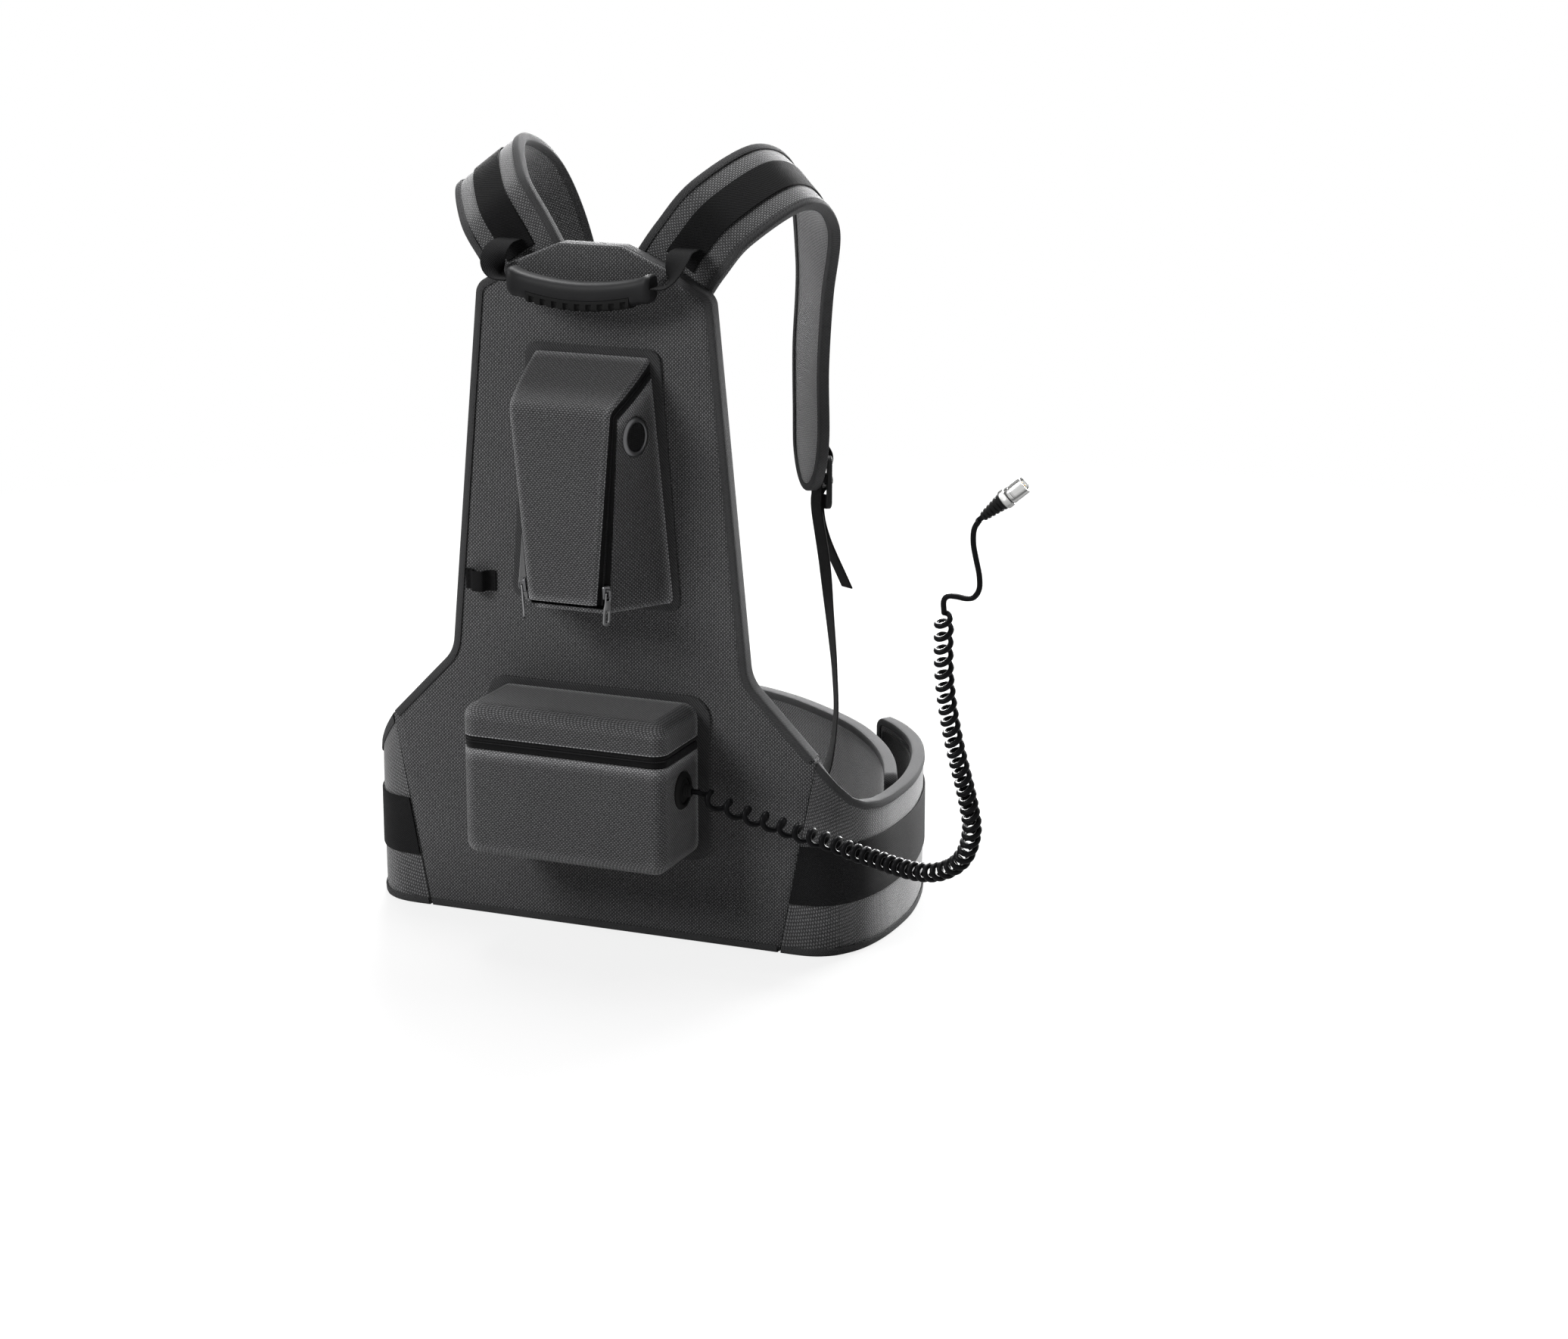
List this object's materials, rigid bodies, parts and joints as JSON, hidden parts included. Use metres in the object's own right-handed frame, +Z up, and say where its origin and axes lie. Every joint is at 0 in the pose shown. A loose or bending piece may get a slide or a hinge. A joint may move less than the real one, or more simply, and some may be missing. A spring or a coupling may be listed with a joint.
{
  "type": "battery backpack harness",
  "caption": "Padded backpack harness with waist belt, zipped pouches for battery and power pack, carry handle and a curly supply cord that ends in a round connector",
  "frame": {"origin": "on the floor under the middle of the harness, left to right and front to back, the cord left out", "axes": "+Z up, +X to the wearer's right, +Y from the panel towards the wearer's front"},
  "size_m": [0.602, 0.422, 0.6419],
  "materials": {
    "canvas": "coarse grey fabric laminated on foam board",
    "tape": "folded grey edge tape",
    "webbing": "near-black twill webbing",
    "mesh": "padded grey strap fabric",
    "plastic": "moulded black",
    "soft": "soft black",
    "steel": "bright",
    "satin": "satin grey",
    "cord": "smooth black sheath",
    "battery": "dark case"
  },
  "bodies": {
    "harness": {"back_panel": "canvas", "panel_collar": "canvas", "panel_binding_upper": "tape", "panel_binding_lower": "tape", "right_shoulder_strap": "mesh", "left_shoulder_strap": "mesh", "right_strap_binding": "tape", "left_strap_binding": "tape", "right_strap_webbing": "webbing", "left_strap_webbing": "webbing", "right_ladder_lock": "plastic", "left_ladder_lock": "plastic", "right_adjust_webbing": "webbing", "left_adjust_webbing": "webbing", "right_webbing_anchor": "webbing", "left_webbing_anchor": "webbing", "upper_pouch_flange": "tape", "upper_pouch_body": "canvas", "upper_right_zip": "webbing", "upper_left_zip": "webbing", "eyelet_ring": "satin", "eyelet_mesh": "soft", "power_pack": "battery", "lower_pouch_flange": "tape", "lower_pouch_body": "canvas", "lower_zip": "webbing", "gland_ring": "satin", "gland_bush": "soft", "battery_block": "battery", "battery_lead": "cord", "keeper_loop": "webbing", "curly_cord": "cord", "connector_boot": "soft", "connector_ring": "steel", "connector_shell": "steel", "connector_insert": "soft"},
    "right_wing": {"right_belt_wing": "canvas", "right_wing_binding": "tape", "right_elastic_band": "webbing", "hook_patch": "soft"},
    "left_wing": {"left_belt_wing": "canvas", "left_wing_binding": "tape", "left_elastic_band": "webbing", "loop_patch": "soft"},
    "upper_flap": {"upper_pouch_flap": "canvas"},
    "lower_lid": {"lower_pouch_lid": "canvas"},
    "right_slider": {"upper_right_slider": "satin"},
    "left_slider": {"upper_left_slider": "satin"},
    "side_slider": {"lower_slider": "satin"},
    "right_pull": {"upper_right_pull": "steel"},
    "left_pull": {"upper_left_pull": "steel"},
    "side_pull": {"lower_pull": "steel"},
    "handle": {"handle_grip": "plastic", "handle_insert": "soft", "right_handle_webbing": "webbing", "left_handle_webbing": "webbing"}
  },
  "joints": [
    {"name": "right_wing_swing", "type": "hinge", "parent": "harness", "child": "right_wing", "pos_m": [0.174, -0.138, 0], "axis": [0, 0, -1], "range_deg": [0, 40]},
    {"name": "left_wing_swing", "type": "hinge", "parent": "harness", "child": "left_wing", "pos_m": [-0.174, -0.138, 0], "axis": [0, 0, 1], "range_deg": [0, 40]},
    {"name": "upper_flap_hinge", "type": "hinge", "parent": "harness", "child": "upper_flap", "pos_m": [0, -0.141, 0.481], "axis": [-1, 0, 0], "range_deg": [0, 70]},
    {"name": "lower_lid_hinge", "type": "hinge", "parent": "harness", "child": "lower_lid", "pos_m": [0, -0.141, 0.203], "axis": [-1, 0, 0], "range_deg": [0, 85]},
    {"name": "handle_swing", "type": "hinge", "parent": "harness", "child": "handle", "pos_m": [0, -0.124, 0.566], "axis": [-1, 0, 0], "range_deg": [0, 95]},
    {"name": "right_slider_run", "type": "slide", "parent": "harness", "child": "right_slider", "axis": [0.0725, 0, 0.9974], "range_m": [0, 0.12]},
    {"name": "right_pull_swing", "type": "hinge", "parent": "right_slider", "child": "right_pull", "pos_m": [0.0377, -0.19711, 0.30251], "axis": [-0.3843, -0.9228, 0.0279], "range_deg": [0, 150]},
    {"name": "left_slider_run", "type": "slide", "parent": "harness", "child": "left_slider", "axis": [-0.0725, 0, 0.9974], "range_m": [0, 0.12]},
    {"name": "left_pull_swing", "type": "hinge", "parent": "left_slider", "child": "left_pull", "pos_m": [-0.0377, -0.19711, 0.30251], "axis": [-0.3843, 0.9228, -0.0279], "range_deg": [0, 150]},
    {"name": "side_slider_run", "type": "slide", "parent": "harness", "child": "side_slider", "axis": [0, -1, 0], "range_m": [0, 0.036]},
    {"name": "side_pull_swing", "type": "hinge", "parent": "side_slider", "child": "side_pull", "pos_m": [-0.09285, -0.1582, 0.1718], "axis": [0, 0, -1], "range_deg": [0, 125]}
  ],
  "couplings": [
    {"joint": "left_wing_swing", "follows": "right_wing_swing", "ratio": 1}
  ]
}
